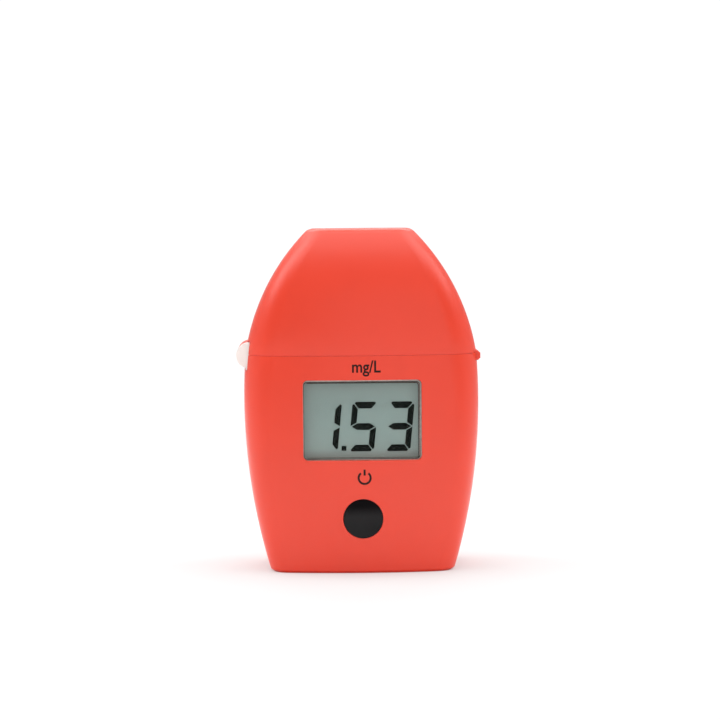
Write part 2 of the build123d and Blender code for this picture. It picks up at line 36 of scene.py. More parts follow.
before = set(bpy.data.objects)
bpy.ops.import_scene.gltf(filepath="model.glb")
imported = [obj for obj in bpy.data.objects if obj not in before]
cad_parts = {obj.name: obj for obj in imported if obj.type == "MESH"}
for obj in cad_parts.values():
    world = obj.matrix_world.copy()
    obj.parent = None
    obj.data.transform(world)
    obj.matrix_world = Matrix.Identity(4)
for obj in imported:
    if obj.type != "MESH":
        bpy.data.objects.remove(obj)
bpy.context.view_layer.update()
MM = 0.001
DIGIT_SLANT = math.radians(5.5)
CAPITAL_SHARE = 0.72  # capital height as a share of the font size
UNIT_NARROWING = 0.88
SYMBOL_OPENING = math.radians(38)  # half the gap in the power symbol's ring
SYMBOL_STEPS = 32

# Rings round the display, outermost first: painted shade in the gap by the lens, a painted highlight on the
# lens's bevel, and a dark printed frame that also stands in for shade at the bevel; name, how far each draws
# the next one in (mm), colour
PAINTED_WINDOW_BANDS = (
    ("window_gap_painted_shade", 0.7, "#85726A"),
    ("window_rim_painted_highlight", 1.1, "#D8CEC7"),
    ("window_mask_and_painted_shade", 0.5, "#463C37"),
)

# Studio: size, power, place and aim of each lamp; the floor glows less near the object, to keep its shadow
GLOW_AT_OBJECT = 0.5
GLOW_STRENGTH_AT_OBJECT = 0.64
GLOW_STRENGTH_FAR = 1.05
GLOW_DEPTHS = (0.08, 0.4)
WORLD_LIGHT = 0.46
FLOOR_SIZE = 3.0
BACKDROP_HEIGHT = 2.0
BACKDROP_BEND = 0.6
LAMPS = {
    "overhead_softbox": ((0.9, 0.5), 3.3, (0.0, -0.1, 0.7), (0, 0, 0.04)),
    "front_softbox": ((0.8, 0.8), 1.25, (0.2, -0.9, 0.22), (0, 0, 0.045)),
    "left_shoulder_softbox": ((0.4, 0.4), 1.4, (-0.45, 0.1, 0.52), (0, 0, 0.075)),
    "right_shoulder_softbox": ((0.4, 0.4), 1.0, (0.45, 0.1, 0.52), (0, 0, 0.075)),
    "left_softbox": ((0.7, 0.7), 0.4, (-0.75, 0.05, 0.25), (0, 0, 0.045)),
    "right_softbox": ((0.7, 0.7), 0.35, (0.75, 0.05, 0.25), (0, 0, 0.045)),
    "back_softbox": ((0.6, 0.3), 1.7, (0.0, 0.4, 0.5), (0, 0, 0.08)),
}


def linear(code):
    """An sRGB hex colour as linear red, green and blue."""
    shares = [int(code[i:i + 2], 16) / 255 for i in (1, 3, 5)]
    return tuple(s / 12.92 if s <= 0.04045 else ((s + 0.055) / 1.055) ** 2.4 for s in shares)


def colour_property(name, description, code):
    """A colour setting kept on the scene, given as sRGB hex."""
    return bpy.props.FloatVectorProperty(
        name=name, description=description, subtype="COLOR", size=3, min=0, max=1, default=linear(code)
    )


def length_property(name, description, millimetres):
    """A length setting kept on the scene, given in millimetres."""
    return bpy.props.FloatProperty(
        name=name, description=description, subtype="DISTANCE", unit="LENGTH", default=millimetres * MM
    )


class ColorimeterColours(bpy.types.PropertyGroup):
    """Colours of the mouldings, the display and the small parts."""

    case_red: colour_property("Case red", "Moulded case and lid", "#DF3618")
    deck_grey: colour_property("Deck grey", "Deck, hinge ears and battery cap", "#F2ECE6")
    well_black: colour_property("Well black", "Cuvette well and lamp holder", "#101011")
    button_black: colour_property("Button black", "Button cap", "#0B090B")
    display_grey: colour_property("Display grey", "Unlit display glass", "#899B97")
    segment_ink: colour_property("Segment ink", "Lit segments of the display", "#0E1411")
    print_ink: colour_property("Print ink", "Marks printed on the case", "#1A0603")
    floor_white: colour_property("Floor white", "Studio floor and backdrop", "#FFFFFF")


class ColorimeterSizes(bpy.types.PropertyGroup):
    """Sizes of what is drawn on the case and behind its window."""

    digit_height: length_property("Digit height", "Height of a display digit", 12.4)
    digit_width: length_property("Digit width", "Width of a display digit", 6.4)
    digit_pitch: length_property("Digit pitch", "Distance from one digit to the next", 9.06)
    digit_stroke: length_property("Digit stroke", "Width of an upright segment", 1.45)
    digit_bar: length_property("Digit bar", "Width of a level segment", 1.66)
    digit_gap: length_property("Digit gap", "Half the gap between two segments", 0.16)
    unit_height: length_property("Unit height", "Capital height of the unit over the window", 3.0)
    symbol_radius: length_property("Symbol radius", "Outer radius of the power symbol", 1.75)
    symbol_stroke: length_property("Symbol stroke", "Line width of the power symbol", 0.52)
    digit_corner: length_property("Digit corner", "Cut-off corner of a digit", 0.8)
    digit_tip: length_property("Digit tip", "Distance of the middle bar's tips from the digit's sides", 0.3)
    digit_shoulder: length_property("Digit shoulder", "How far the bar's taper passes the upright", 0.25)
    point_width: length_property("Point width", "Side of the decimal point", 1.2)
    point_gap: length_property("Point gap", "Distance of the point from the first digit", 0.99)
    point_lift: length_property("Point lift", "Height of the point over the digits' foot", 0.2)
    reading_left: length_property("Reading left", "Left edge of the reading", -12.6)
    reading_lift: length_property("Reading lift", "Height of the reading over the display's foot", 2.65)
    film_thickness: length_property("Film thickness", "Thickness of what is printed behind the lens", 0.04)
    window_width: length_property("Window width", "Width of the opening round the display", 29.7)
    window_height: length_property("Window height", "Height of the opening round the display", 20.0)
    band_margin: length_property("Band margin", "How far the rings pass under the window's edge", 0.8)
    band_corner: length_property("Band corner", "Corner radius of the outermost ring", 1.6)
    band_shift_x: length_property("Band shift X", "Sideways place of the rings in the window", -0.15)
    band_shift_z: length_property("Band shift Z", "Upward place of the rings in the window", -0.3)
    unit_x: length_property("Unit X", "Sideways place of the unit", 0.95)
    unit_z: length_property("Unit Z", "Height of the unit's foot", 50.45)
    unit_weight: length_property("Unit weight", "How far the unit's strokes are thickened", 0.07)
    symbol_x: length_property("Symbol X", "Sideways place of the power symbol", 0.4)
    symbol_z: length_property("Symbol Z", "Height of the power symbol's middle", 24.2)
    ink_thickness: length_property("Ink thickness", "Thickness of a printed mark", 0.02)
    print_start: length_property("Print start", "How far in front of the case a mark starts", 5.0)
    seam_gap: length_property("Seam gap", "Gap between case and lid", 0.2)
    seam_depth: length_property("Seam depth", "Height of the step above the gap", 0.25)
    seam_inset: length_property("Seam inset", "How far the step lies behind the outer face", 0.1)
    seam_drop: length_property("Seam drop", "How far the step reaches into the gap", 0.18)
    seam_start: length_property("Seam start", "Where the step starts, from the middle of the case", 10.5)


class ColorimeterCamera(bpy.types.PropertyGroup):
    """The camera, as the photographer would set it."""

    distance: length_property("Distance", "Camera to the point it looks at", 607.0)
    lens: bpy.props.FloatProperty(
        name="Focal length", description="Focal length in millimetres", default=119.0, min=10
    )
    azimuth: bpy.props.FloatProperty(
        name="Azimuth", description="Turn towards the hinge side", subtype="ANGLE",
        default=math.radians(-1.2),
    )
    elevation: bpy.props.FloatProperty(
        name="Elevation", description="Angle above the horizon", subtype="ANGLE",
        default=math.radians(3.55),
    )
    roll: bpy.props.FloatProperty(
        name="Roll", description="Turn about the line of sight", subtype="ANGLE",
        default=math.radians(-0.47),
    )
    aim: bpy.props.FloatVectorProperty(
        name="Aim", description="Point in the middle of the picture", subtype="TRANSLATION", size=3,
        default=(-0.13 * MM, 0.0, 52.4 * MM),
    )


def settings():
    """The colours and the sizes that the scene holds."""
    return bpy.context.scene.colorimeter_colours, bpy.context.scene.colorimeter_sizes


def add_node(tree, kind, values=None, links=None, **options):
    """One node with its options, socket values and incoming links."""
    node = tree.nodes.new(kind)
    for name, value in options.items():
        setattr(node, name, value)
    for name, value in (values or {}).items():
        node.inputs[name].default_value = value
    for name, output in (links or {}).items():
        tree.links.new(output, node.inputs[name])
    return node


def new_material(name):
    """An empty node material and its tree."""
    material = bpy.data.materials.new(name)
    material.use_nodes = True
    material.node_tree.nodes.clear()
    return material, material.node_tree


def finish_material(tree, shader):
    """Sends a shader to the material's surface."""
    add_node(tree, "ShaderNodeOutputMaterial", links={"Surface": shader.outputs[0]})


def opaque(colour):
    """The colour with full alpha."""
    return (*colour, 1.0)


def shaded(colour, factor):
    """The colour made lighter or darker by a factor."""
    return (*[min(part * factor, 1.0) for part in colour], 1.0)


def varied_colour(tree, place, colour, patch_mm, spread):
    """A colour that drifts a little over patches of the given size."""
    drift = add_node(
        tree, "ShaderNodeTexNoise", {"Scale": 1 / (patch_mm * MM), "Detail": 3.0}, {"Vector": place}
    )
    ramp = add_node(tree, "ShaderNodeValToRGB", links={"Fac": drift.outputs["Fac"]})
    ramp.color_ramp.elements[0].position = 0.3
    ramp.color_ramp.elements[0].color = shaded(colour, 1 - spread)
    ramp.color_ramp.elements[1].position = 0.7
    ramp.color_ramp.elements[1].color = shaded(colour, 1 + spread)
    return ramp.outputs["Color"]


def spread_value(tree, source, low, high):
    """A value between low and high that follows a pattern."""
    span = add_node(tree, "ShaderNodeMapRange", {"To Min": low, "To Max": high}, {"Value": source})
    return span.outputs["Result"]


def slope(tree, source, start, end, at_start, at_end, **options):
    """A value that goes from one number to another while its source goes from start to end."""
    span = add_node(
        tree, "ShaderNodeMapRange",
        {"From Min": start, "From Max": end, "To Min": at_start, "To Max": at_end},
        {"Value": source}, **options,
    )
    return span.outputs["Result"]


def moulded_plastic(name, colour, roughness, grain_mm, grain_depth_mm, spread=0.03):
    """Injection-moulded ABS: even colour, satin skin with the fine grain of a spark-eroded mould."""
    material, tree = new_material(name)
    place = add_node(tree, "ShaderNodeTexCoord").outputs["Object"]
    grain = add_node(
        tree, "ShaderNodeTexNoise", {"Scale": 1 / (grain_mm * MM), "Detail": 2.0}, {"Vector": place}
    )
    bump = add_node(
        tree, "ShaderNodeBump", {"Strength": 0.5, "Distance": grain_depth_mm * MM},
        {"Height": grain.outputs["Fac"]},
    )
    shader = add_node(
        tree,
        "ShaderNodeBsdfPrincipled",
        {"IOR": 1.53},
        {
            "Base Color": varied_colour(tree, place, colour, 14.0, spread),
            "Roughness": spread_value(tree, grain.outputs["Fac"], roughness - 0.04, roughness + 0.04),
            "Normal": bump.outputs["Normal"],
        },
    )
    finish_material(tree, shader)
    return material


def dished_black(name, colour, low_z, high_z):
    """Black moulded plastic with painted shade: its reflection is painted weaker towards the top, so the
    upper part looks darker.
    """
    material, tree = new_material(name)
    place = add_node(tree, "ShaderNodeTexCoord").outputs["Object"]
    grain = add_node(
        tree, "ShaderNodeTexNoise", {"Scale": 1 / (0.6 * MM), "Detail": 2.0}, {"Vector": place}
    )
    bump = add_node(
        tree, "ShaderNodeBump", {"Strength": 0.4, "Distance": 0.01 * MM}, {"Height": grain.outputs["Fac"]}
    )
    height = add_node(tree, "ShaderNodeSeparateXYZ", links={"Vector": place})
    # Painted shade: the reflection drops from the lower to the upper strength between these shares of the
    # cap's height, so the top looks darker.
    fading_from, painted_shade_from = 0.5, 0.78
    lower_shine, upper_shine = 0.22, 0.03
    start_z = low_z + (high_z - low_z) * fading_from
    end_z = low_z + (high_z - low_z) * painted_shade_from
    reflection_with_painted_shade = slope(
        tree, height.outputs["Z"], start_z, end_z, lower_shine, upper_shine, interpolation_type="SMOOTHSTEP"
    )
    shader = add_node(
        tree,
        "ShaderNodeBsdfPrincipled",
        {"IOR": 1.5},
        {
            "Base Color": varied_colour(tree, place, colour, 5.0, 0.1),
            "Roughness": spread_value(tree, grain.outputs["Fac"], 0.3, 0.38),
            "Specular IOR Level": reflection_with_painted_shade,
            "Normal": bump.outputs["Normal"],
        },
    )
    finish_material(tree, shader)
    return material


def sheet_metal(name, code, roughness, scratch_mm, stretch):
    """Rolled or turned metal with fine lines along its working direction."""
    material, tree = new_material(name)
    place = add_node(tree, "ShaderNodeTexCoord").outputs["Object"]
    turned = add_node(
        tree, "ShaderNodeMapping", {"Scale": stretch}, {"Vector": place}, vector_type="POINT"
    )
    lines = add_node(
        tree, "ShaderNodeTexNoise", {"Scale": 1 / (scratch_mm * MM), "Detail": 4.0},
        {"Vector": turned.outputs["Vector"]},
    )
    bump = add_node(
        tree, "ShaderNodeBump", {"Strength": 0.25, "Distance": 0.01 * MM}, {"Height": lines.outputs["Fac"]}
    )
    shader = add_node(
        tree,
        "ShaderNodeBsdfPrincipled",
        {"Metallic": 1.0},
        {
            "Base Color": varied_colour(tree, place, linear(code), 2.0, 0.08),
            "Roughness": spread_value(tree, lines.outputs["Fac"], roughness - 0.08, roughness + 0.08),
            "Normal": bump.outputs["Normal"],
        },
    )
    finish_material(tree, shader)
    return material


def clear_plastic(name, code, ior, roughness):
    """Moulded clear plastic: colourless, polished, and lamps shine through it."""
    material, tree = new_material(name)
    place = add_node(tree, "ShaderNodeTexCoord").outputs["Object"]
    flow = add_node(tree, "ShaderNodeTexNoise", {"Scale": 1 / (6.0 * MM)}, {"Vector": place})
    bump = add_node(
        tree, "ShaderNodeBump", {"Strength": 0.03, "Distance": 0.02 * MM}, {"Height": flow.outputs["Fac"]}
    )
    glass = add_node(
        tree,
        "ShaderNodeBsdfPrincipled",
        {"Base Color": opaque(linear(code)), "IOR": ior, "Transmission Weight": 1.0,
         "Roughness": roughness},
        {"Normal": bump.outputs["Normal"]},
    )
    through = add_node(tree, "ShaderNodeBsdfTransparent", {"Color": opaque(linear(code))})
    path = add_node(tree, "ShaderNodeLightPath")
    mix = add_node(tree, "ShaderNodeMixShader", links={"Fac": path.outputs["Is Shadow Ray"]})
    tree.links.new(glass.outputs[0], mix.inputs[1])
    tree.links.new(through.outputs[0], mix.inputs[2])
    finish_material(tree, mix)
    return material


def display_polariser(name, colour, low_z, shade_height):
    """Reflective display glass: matt grey-green, with painted warm shade along its lower edge."""
    material, tree = new_material(name)
    place = add_node(tree, "ShaderNodeTexCoord").outputs["Object"]
    grit = add_node(
        tree, "ShaderNodeTexNoise", {"Scale": 1 / (0.35 * MM), "Detail": 2.0}, {"Vector": place}
    )
    bump = add_node(
        tree, "ShaderNodeBump", {"Strength": 0.15, "Distance": 0.01 * MM}, {"Height": grit.outputs["Fac"]}
    )
    height = add_node(tree, "ShaderNodeSeparateXYZ", links={"Vector": place})
    shade = slope(tree, height.outputs["Z"], low_z, low_z + shade_height, 0.6, 0.0)
    # Painted shade: warm brown, strongest at the lower edge and gone over the shade height above it.
    painted_shade_colour = add_node(
        tree, "ShaderNodeMix", {"B": opaque(linear("#75655E"))},
        {"Factor": shade, "A": varied_colour(tree, place, colour, 9.0, 0.03)},
        data_type="RGBA",
    )
    shader = add_node(
        tree,
        "ShaderNodeBsdfPrincipled",
        {"IOR": 1.5},
        {
            "Base Color": painted_shade_colour.outputs["Result"],
            "Roughness": spread_value(tree, grit.outputs["Fac"], 0.35, 0.45),
            "Normal": bump.outputs["Normal"],
        },
    )
    finish_material(tree, shader)
    return material


def printed_ink(name, colour, sheen=0.2):
    """Dense matt ink, a little uneven."""
    material, tree = new_material(name)
    place = add_node(tree, "ShaderNodeTexCoord").outputs["Object"]
    shader = add_node(
        tree,
        "ShaderNodeBsdfPrincipled",
        {"IOR": 1.5, "Roughness": 0.45, "Specular IOR Level": sheen},
        {"Base Color": varied_colour(tree, place, colour, 0.8, 0.15)},
    )
    finish_material(tree, shader)
    return material


def solder_mask(name):
    """Glass-epoxy circuit board: green mask with slightly lighter copper tracks under it."""
    material, tree = new_material(name)
    place = add_node(tree, "ShaderNodeTexCoord").outputs["Object"]
    tracks = add_node(
        tree, "ShaderNodeTexBrick",
        {"Scale": 1 / (2.5 * MM), "Color1": opaque(linear("#0F5A2A")), "Color2": opaque(linear("#0C4A22")),
         "Mortar": opaque(linear("#2C8446")), "Mortar Size": 0.05},
        {"Vector": place},
    )
    bump = add_node(
        tree, "ShaderNodeBump", {"Strength": 0.3, "Distance": 0.02 * MM}, {"Height": tracks.outputs["Fac"]}
    )
    shader = add_node(
        tree,
        "ShaderNodeBsdfPrincipled",
        {"IOR": 1.55, "Roughness": 0.28},
        {"Base Color": tracks.outputs["Color"], "Normal": bump.outputs["Normal"]},
    )
    finish_material(tree, shader)
    return material


def layered_rubber(name):
    """Contact strip rubber: alternate conductive black and insulating grey layers, 0.2 mm each."""
    material, tree = new_material(name)
    place = add_node(tree, "ShaderNodeTexCoord").outputs["Object"]
    layers = add_node(
        tree, "ShaderNodeTexWave", {"Scale": 1 / (6.3 * 0.4 * MM)}, {"Vector": place},
        bands_direction="X",
    )
    ramp = add_node(tree, "ShaderNodeValToRGB", links={"Fac": layers.outputs["Fac"]})
    ramp.color_ramp.elements[0].color = opaque(linear("#151515"))
    ramp.color_ramp.elements[1].color = opaque(linear("#8A8A86"))
    shader = add_node(
        tree,
        "ShaderNodeBsdfPrincipled",
        {"IOR": 1.45, "Roughness": 0.6},
        {"Base Color": ramp.outputs["Color"]},
    )
    finish_material(tree, shader)
    return material


def dress(material, *nodes):
    """Gives CAD nodes a material in their own slots."""
    for name in nodes:
        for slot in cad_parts[name].material_slots:
            slot.material = material


def deselect():
    """Leaves edit mode and clears the selection."""
    if bpy.context.object and bpy.context.object.mode != "OBJECT":
        bpy.ops.object.mode_set(mode="OBJECT")
    bpy.ops.object.select_all(action="DESELECT")


def pick(piece):
    """Makes one piece the selected and active one."""
    deselect()
    piece.select_set(True)
    bpy.context.view_layer.objects.active = piece


def apply_place(piece):
    """Puts a piece's place in its mesh, so that its object sits at the origin."""
    pick(piece)
    bpy.ops.object.transform_apply(location=True, rotation=True, scale=True)


def flat_mark(name, outlines, thickness):
    """A thin upright plate of closed outlines in the XZ plane, facing the viewer, as a mesh."""
    curve = bpy.data.curves.new(name, "CURVE")
    curve.dimensions = "2D"
    curve.fill_mode = "BOTH"
    curve.extrude = thickness / 2
    for outline in outlines:
        spline = curve.splines.new("POLY")
        spline.points.add(len(outline) - 1)
        for point, (x, z) in zip(spline.points, outline):
            point.co = (x, z, 0, 1)
        spline.use_cyclic_u = True
    piece = bpy.data.objects.new(name, curve)
    bpy.context.scene.collection.objects.link(piece)
    pick(piece)
    bpy.ops.object.convert(target="MESH")
    piece = bpy.context.object
    piece.rotation_euler = (math.pi / 2, 0, 0)
    apply_place(piece)
    return piece


def rounded_outline(width, height, radius, middle_z):
    """Outline of a rectangle with round corners in the XZ plane."""
    outline = []
    for quarter, (side_x, side_z) in enumerate(((1, 1), (-1, 1), (-1, -1), (1, -1))):
        for step in range(7):
            angle = (quarter + step / 6) * math.pi / 2
            outline.append((
                side_x * (width / 2 - radius) + radius * math.cos(angle),
                middle_z + side_z * (height / 2 - radius) + radius * math.sin(angle),
            ))
    return outline


def lay_on(piece, node, lift):
    """Presses a flat mark along +Y onto a curved CAD surface."""
    pick(piece)
    wrap = piece.modifiers.new("lay", "SHRINKWRAP")
    wrap.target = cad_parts[node]
    wrap.wrap_method = "PROJECT"
    wrap.use_project_y = True
    wrap.use_positive_direction = True
    wrap.use_negative_direction = False
    wrap.offset = lift
    bpy.ops.object.modifier_apply(modifier=wrap.name)


def step_lip(node, rim, sizes):
    """A thin step under a rim, behind its outer face, that closes the seam in front and at the back."""
    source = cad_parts[node]
    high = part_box(node)[1]
    strips = []
    for side in (-1, 1):
        strip = bpy.data.objects.new("seam_step", source.data.copy())
        bpy.context.scene.collection.objects.link(strip)
        strip.data.materials.clear()
        pick(strip)
        bpy.ops.object.mode_set(mode="EDIT")
        top = (0, 0, rim + sizes.seam_depth), (0, 0, 1)
        inner = (0, side * sizes.seam_start, 0), (0, -side, 0)
        for place, normal in (top, inner):
            bpy.ops.mesh.select_all(action="SELECT")
            bpy.ops.mesh.bisect(plane_co=place, plane_no=normal, clear_outer=True, use_fill=False)
        bpy.ops.object.mode_set(mode="OBJECT")
        strip.scale = (1 - sizes.seam_inset / high.x, 1 - sizes.seam_inset / high.y, 1)
        strip.location = (0, 0, -sizes.seam_drop)
        apply_place(strip)
        strips.append(strip)
    strips[1].select_set(True)
    strips[0].select_set(True)
    bpy.context.view_layer.objects.active = strips[0]
    bpy.ops.object.join()
    return strips[0]


def segments(sizes):
    """Outlines of the seven segments of a digit, from its lower left corner, before the slant."""
    wide, high = sizes.digit_width, sizes.digit_height
    stroke, bar_stroke, gap = sizes.digit_stroke, sizes.digit_bar, sizes.digit_gap
    bar_half = bar_stroke / 2
    middle = high / 2
    corner, tip = sizes.digit_corner, sizes.digit_tip
    top = [
        (corner, high), (wide - corner, high), (wide - corner / 2 - gap, high - corner / 2),
        (wide - stroke - gap, high - bar_stroke), (stroke + gap, high - bar_stroke),
        (corner / 2 + gap, high - corner / 2),
    ]
    bottom = [(x, high - z) for x, z in top]
    shoulder = stroke + sizes.digit_shoulder
    bar = [
        (tip, middle), (shoulder, middle + bar_half), (wide - shoulder, middle + bar_half),
        (wide - tip, middle), (wide - shoulder, middle - bar_half), (shoulder, middle - bar_half),
    ]
    upper_left = [
        (0, high - corner), (corner / 2, high - corner / 2 - gap), (stroke, high - bar_stroke - gap),
        (stroke, middle + bar_half + gap), (0, middle + gap),
    ]
    upper_right = [(wide - x, z) for x, z in upper_left]
    lower_left = [(x, high - z) for x, z in upper_left]
    lower_right = [(wide - x, high - z) for x, z in upper_left]
    return {
        "a": top, "b": upper_right, "c": lower_right, "d": bottom, "e": lower_left, "f": upper_left, "g": bar,
    }


def reading_outlines(sizes, left, low):
    """Outlines of the shown number: two right-hand bars, a point, and two full digits."""
    slant = math.tan(DIGIT_SLANT)
    shapes = segments(sizes)
    outlines = []
    for place, lit in enumerate(("bc", "acdfg", "abcdg")):
        for key in lit:
            outline = [
                (left + place * sizes.digit_pitch + x + z * slant, low + z) for x, z in shapes[key]
            ]
            outlines.append(outline)
    dot = sizes.point_width
    dot_left = left + sizes.digit_width + sizes.point_gap
    dot_low = low + sizes.point_lift
    outlines.append([
        (dot_left, dot_low), (dot_left + dot, dot_low),
        (dot_left + dot, dot_low + dot), (dot_left, dot_low + dot),
    ])
    return outlines


class COLORIMETER_OT_case(bpy.types.Operator):
    """Finishes the red case and lid"""

    bl_idname = "colorimeter.case"
    bl_label = "Case and lid"

    def execute(self, context):
        colours, sizes = settings()
        red = moulded_plastic("satin moulded ABS red", colours.case_red, 0.36, 0.5, 0.012, 0.015)
        dress(red, "front_shell", "rear_shell", "lid_shell")
        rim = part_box("rear_shell")[1].z + sizes.seam_gap
        lip = step_lip("lid_shell", rim, sizes)
        lip.data.materials.append(red)
        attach(lip, "lid")
        return {"FINISHED"}


class COLORIMETER_OT_deck(bpy.types.Operator):
    """Finishes the light deck with its hinge ears, and the battery cap"""

    bl_idname = "colorimeter.deck"
    bl_label = "Deck and battery cap"

    def execute(self, context):
        colours = context.scene.colorimeter_colours
        grey = moulded_plastic("satin moulded ABS light grey", colours.deck_grey, 0.45, 0.5, 0.012, 0.015)
        dress(grey, "top_deck", "battery_cap")
        return {"FINISHED"}


class COLORIMETER_OT_well(bpy.types.Operator):
    """Finishes the black well, the lamp side and the detector side"""

    bl_idname = "colorimeter.well"
    bl_label = "Well and optics"

    def execute(self, context):
        colours = context.scene.colorimeter_colours
        black = moulded_plastic("matt moulded ABS black", colours.well_black, 0.55, 0.6, 0.02, 0.2)
        dress(black, "cuvette_well", "led_holder", "battery_tube", "switch_body", "microcontroller")
        dress(clear_plastic("clear cast epoxy", "#F4F7FA", 1.52, 0.03), "led_emitter")
        dress(clear_plastic("coated filter glass", "#9CC6DA", 1.52, 0.02), "optical_filter")
        dress(solder_mask("green solder mask"), "circuit_board", "led_board", "detector_board")
        cable = moulded_plastic("extruded PVC grey", linear("#8B8B8D"), 0.5, 1.0, 0.01, 0.05)
        dress(cable, "led_cable", "detector_cable")
        can = sheet_metal("drawn nickel silver can", "#B9B7B0", 0.32, 0.3, (1, 1, 0.2))
        dress(can, "photocell")
        return {"FINISHED"}


class COLORIMETER_OT_window(bpy.types.Operator):
    """Finishes the lens and the display, and sets the reading behind the lens"""

    bl_idname = "colorimeter.window"
    bl_label = "Window and display"

    def execute(self, context):
        colours, sizes = settings()
        dress(clear_plastic("coated polycarbonate", "#FBFDFC", 1.1, 0.01), "lcd_window")
        low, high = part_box("lcd_glass")
        # The display glass gets painted shade along its lower edge, starting 0.8 mm above its foot.
        polariser = display_polariser(
            "matt display polariser", colours.display_grey, low.z + 0.8 * MM, 2.6 * MM
        )
        dress(polariser, "lcd_glass")
        white = moulded_plastic("moulded ABS white", linear("#DADAD6"), 0.5, 0.6, 0.01)
        dress(white, "lcd_frame", "switch_plunger")
        dress(layered_rubber("layered contact rubber"), "zebra_strips")
        lens_low, lens_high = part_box("lcd_window")
        gap_middle = (lens_high.y + low.y) / 2
        outlines = reading_outlines(sizes, sizes.reading_left, low.z + sizes.reading_lift)
        reading = flat_mark("display_reading", outlines, sizes.film_thickness)
        reading.location = (0, gap_middle, 0)
        apply_place(reading)
        reading.data.materials.append(printed_ink("display segment", colours.segment_ink, 0.04))
        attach(reading, "case")

        middle = (lens_low + lens_high) / 2
        wide = sizes.window_width + sizes.band_margin
        high = sizes.window_height + sizes.band_margin
        radius = sizes.band_corner
        # Painted light behind the lens: the gap ring is painted shade, the rim ring a painted highlight, and
        # the mask a printed frame that is also painted shade.
        for name, drawn_in, code in PAINTED_WINDOW_BANDS:
            outer = rounded_outline(wide, high, radius, middle.z)
            wide -= drawn_in * MM
            high -= drawn_in * MM
            radius -= drawn_in / 2 * MM
            inner = rounded_outline(wide, high, radius, middle.z)
            band = flat_mark(name, [outer, inner], sizes.film_thickness)
            band.location = (middle.x + sizes.band_shift_x, gap_middle, sizes.band_shift_z)
            apply_place(band)
            band.data.materials.append(printed_ink(name, linear(code)))
            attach(band, "case")
        return {"FINISHED"}


class COLORIMETER_OT_button(bpy.types.Operator):
    """Finishes the button"""

    bl_idname = "colorimeter.button"
    bl_label = "Button"

    def execute(self, context):
        colours = context.scene.colorimeter_colours
        low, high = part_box("button_cap")
        # The button cap gets painted shade over its upper part.
        dress(dished_black("satin moulded ABS black", colours.button_black, low.z, high.z), "button_cap")
        return {"FINISHED"}


class COLORIMETER_OT_marks(bpy.types.Operator):
    """Prints a plain unit over the window and a power symbol over the button"""

    bl_idname = "colorimeter.marks"
    bl_label = "Printed marks"

    def execute(self, context):
        colours, sizes = settings()
        ink = printed_ink("pad-printed ink", colours.print_ink)
        start_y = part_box("front_shell")[0].y - sizes.print_start

        deselect()
        bpy.ops.object.text_add(location=(0, 0, 0))
        unit = bpy.context.object
        unit.name = "printed_unit"
        unit.data.body = "mg/L"
        unit.data.align_x = "CENTER"
        unit.data.size = sizes.unit_height / CAPITAL_SHARE
        unit.data.resolution_u = 6
        unit.data.offset = sizes.unit_weight
        bpy.ops.object.convert(target="MESH")
        unit = bpy.context.object
        unit.rotation_euler = (math.pi / 2, 0, 0)
        unit.scale = (UNIT_NARROWING, 1, 1)
        unit.location = (sizes.unit_x, start_y, sizes.unit_z)
        apply_place(unit)

        radius, stroke = sizes.symbol_radius, sizes.symbol_stroke
        turn = 2 * math.pi - 2 * SYMBOL_OPENING
        sweep = [SYMBOL_OPENING + turn * i / SYMBOL_STEPS for i in range(SYMBOL_STEPS + 1)]
        ring = [(radius * math.sin(a), radius * math.cos(a)) for a in sweep]
        inner = radius - stroke
        ring += [(inner * math.sin(a), inner * math.cos(a)) for a in reversed(sweep)]
        half = stroke / 2
        bar = [(-half, 0.35 * radius), (half, 0.35 * radius), (half, 1.2 * radius), (-half, 1.2 * radius)]
        symbol = flat_mark("printed_symbol", [ring, bar], 0)
        symbol.location = (sizes.symbol_x, start_y, sizes.symbol_z)
        apply_place(symbol)

        for mark in (unit, symbol):
            lay_on(mark, "front_shell", sizes.ink_thickness)
            mark.data.materials.append(ink)
            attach(mark, "case")
        return {"FINISHED"}


class COLORIMETER_OT_metal(bpy.types.Operator):
    """Finishes the pin, the screws, the battery and its contacts"""

    bl_idname = "colorimeter.metal"
    bl_label = "Metal parts and battery"

    def execute(self, context):
        dress(sheet_metal("drawn stainless steel", "#C9C9CB", 0.28, 0.15, (1, 0.05, 1)), "hinge_pin")
        screws = sheet_metal("zinc-plated steel", "#BFC1C4", 0.35, 0.3, (1, 1, 1))
        dress(screws, "case_screws", "board_screws")
        nickel = sheet_metal("nickel-plated spring steel", "#CFC8BA", 0.25, 0.2, (0.1, 1, 1))
        dress(nickel, "battery_spring", "positive_strip", "cap_contact", "board_passives")
        sleeve = moulded_plastic("printed battery sleeve", linear("#1B1B1D"), 0.3, 2.0, 0.005)
        dress(sleeve, "battery_cell")
        seal = moulded_plastic("black nitrile rubber", linear("#141414"), 0.6, 0.5, 0.01)
        dress(seal, "cap_seal")
        return {"FINISHED"}


def area_lamp(name, size, power, place, aim):
    """A rectangular lamp turned towards the point it lights."""
    light = bpy.data.lights.new(name, "AREA")
    light.shape = "RECTANGLE"
    light.size, light.size_y = size
    light.energy = power
    lamp = bpy.data.objects.new(name, light)
    bpy.context.scene.collection.objects.link(lamp)
    lamp.location = place
    lamp.rotation_mode = "QUATERNION"
    lamp.rotation_quaternion = (Vector(aim) - Vector(place)).to_track_quat("-Z", "Y")
    return lamp


def seen_by_camera(tree):
    """One for rays from the camera, straight or through the lens, and zero for all others."""
    path = add_node(tree, "ShaderNodeLightPath")
    seen = add_node(tree, "ShaderNodeMath", operation="MAXIMUM")
    tree.links.new(path.outputs["Is Camera Ray"], seen.inputs[0])
    tree.links.new(path.outputs["Is Transmission Ray"], seen.inputs[1])
    return seen.outputs[0]


